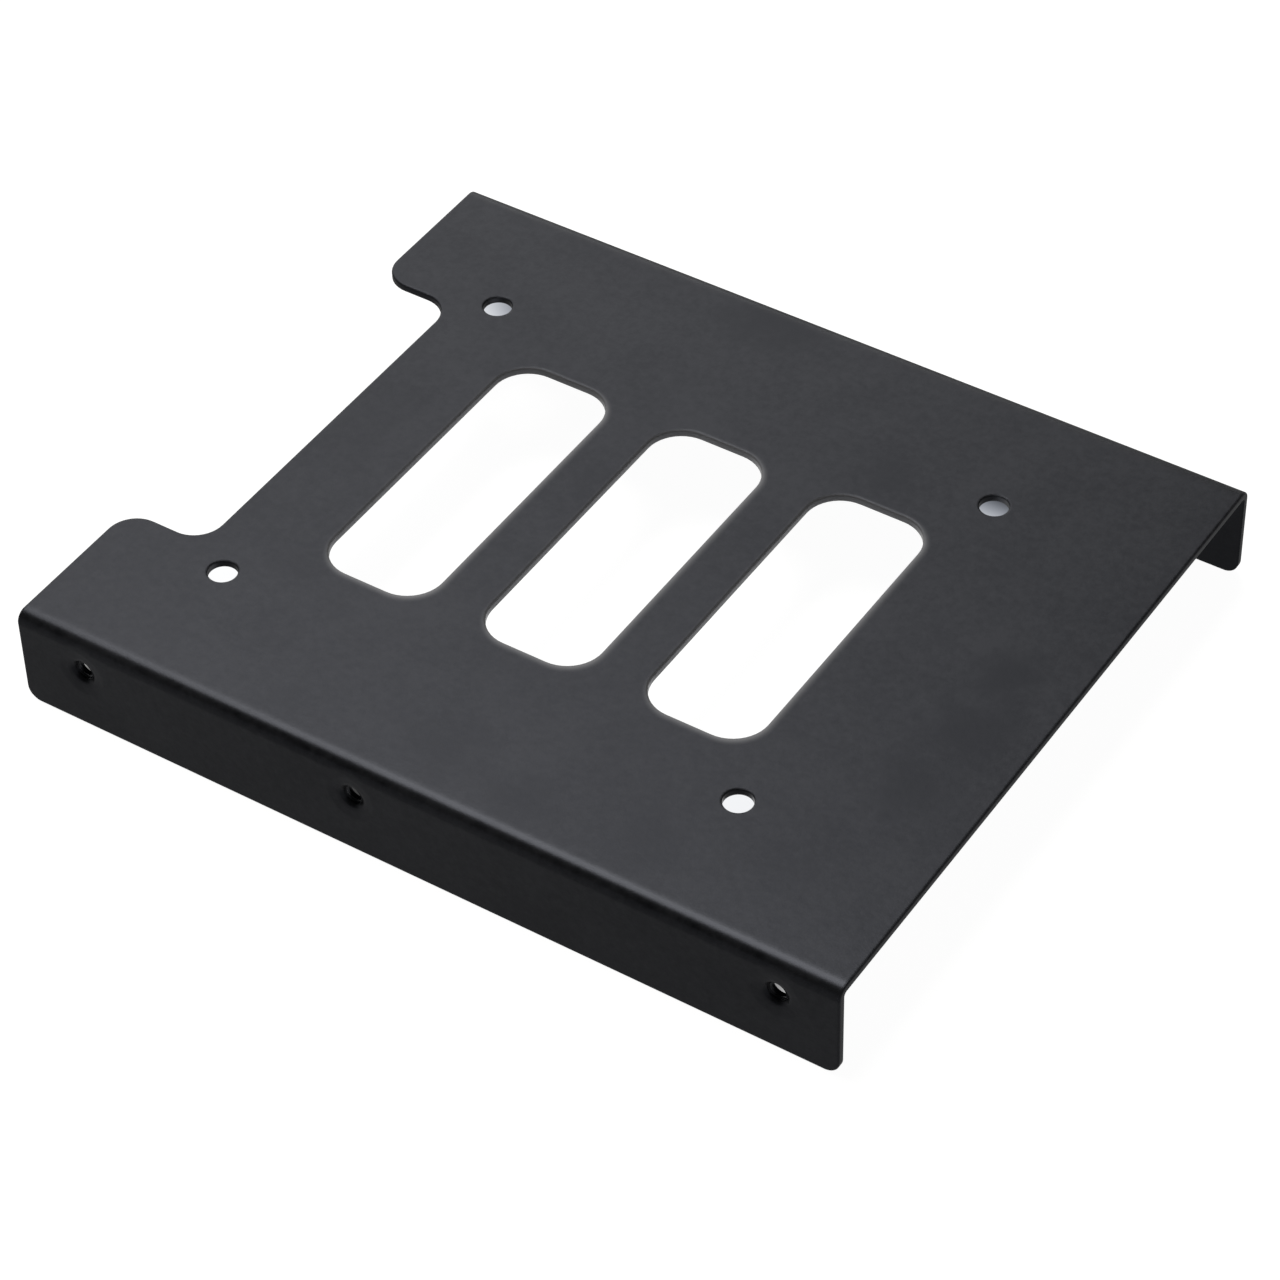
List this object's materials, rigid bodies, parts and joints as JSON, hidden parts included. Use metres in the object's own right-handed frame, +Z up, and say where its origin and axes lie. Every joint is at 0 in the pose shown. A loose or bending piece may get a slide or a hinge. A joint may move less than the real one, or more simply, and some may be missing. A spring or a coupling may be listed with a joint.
{
  "type": "drive bay adapter bracket",
  "caption": "Black powder-coated folded sheet-metal bracket that holds a small drive in a larger bay: flat web with rounded slots, drive holes and a notched end, side flanges with tapped holes",
  "frame": {"origin": "under the middle of the bracket, on the plane that its two flange edges stand on", "axes": "+X along the flanges, away from the notched end; +Y across, from the flange the picture shows to the far one; +Z up, out of the web's outer face"},
  "size_m": [0.12, 0.1016, 0.0144],
  "materials": {
    "black_powder_coat": "satin black powder coat with a fine even grain"
  },
  "bodies": {
    "root": {"bracket": "black_powder_coat"}
  },
  "joints": []
}
